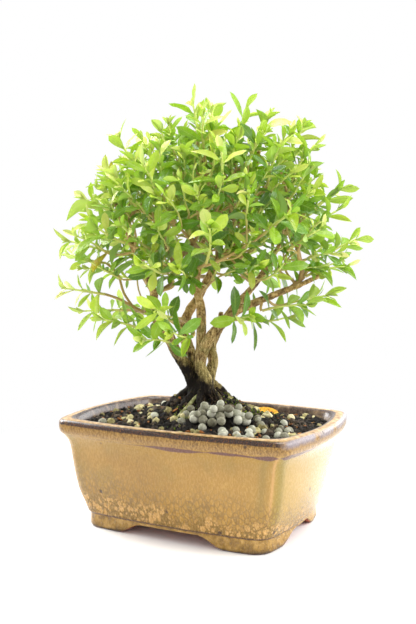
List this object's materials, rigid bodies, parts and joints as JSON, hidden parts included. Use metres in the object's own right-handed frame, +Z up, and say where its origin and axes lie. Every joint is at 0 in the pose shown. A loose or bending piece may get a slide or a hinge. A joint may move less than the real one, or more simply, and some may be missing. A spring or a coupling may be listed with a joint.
{
  "type": "serissa bonsai",
  "caption": "Multi-stemmed serissa bonsai with a domed leafy crown, growing in soil in a glazed rectangular pot on four corner feet",
  "frame": {"origin": "centre of the bottom of the bounding box, under the middle of the pot, at the level that its feet stand on", "axes": "+Z up, +X along the pot's long side, -Y out of the pot's front face"},
  "size_m": [0.192, 0.1773, 0.2698],
  "materials": {
    "glaze": "gloss",
    "soil": "matte",
    "pellet": "matte",
    "bark": "matte",
    "leaf": "satin",
    "dry_leaf": "satin",
    "mesh_plastic": "matte"
  },
  "bodies": {
    "root": {"pot": "glaze", "drain_mesh_left": "mesh_plastic", "drain_mesh_right": "mesh_plastic", "soil": "soil", "pellet_heap": "pellet", "fallen_leaf": "dry_leaf", "trunk": "bark", "spray_01": "leaf", "spray_02": "leaf", "spray_03": "leaf", "spray_04": "leaf", "spray_05": "leaf", "spray_06": "leaf", "spray_07": "leaf", "spray_08": "leaf", "spray_09": "leaf", "spray_10": "leaf", "spray_11": "leaf", "spray_12": "leaf", "spray_13": "leaf", "spray_14": "leaf", "spray_15": "leaf", "spray_16": "leaf", "spray_17": "leaf", "spray_18": "leaf", "spray_19": "leaf", "spray_20": "leaf", "spray_21": "leaf", "spray_22": "leaf", "spray_23": "leaf", "spray_24": "leaf", "spray_25": "leaf", "spray_26": "leaf", "spray_27": "leaf", "spray_28": "leaf", "spray_29": "leaf", "spray_30": "leaf", "spray_31": "leaf", "spray_32": "leaf", "spray_33": "leaf", "spray_34": "leaf", "spray_35": "leaf", "spray_36": "leaf", "spray_37": "leaf", "spray_38": "leaf", "spray_39": "leaf", "spray_40": "leaf", "spray_41": "leaf", "spray_42": "leaf", "spray_43": "leaf", "spray_44": "leaf", "spray_45": "leaf", "spray_46": "leaf", "spray_47": "leaf"}
  },
  "joints": []
}
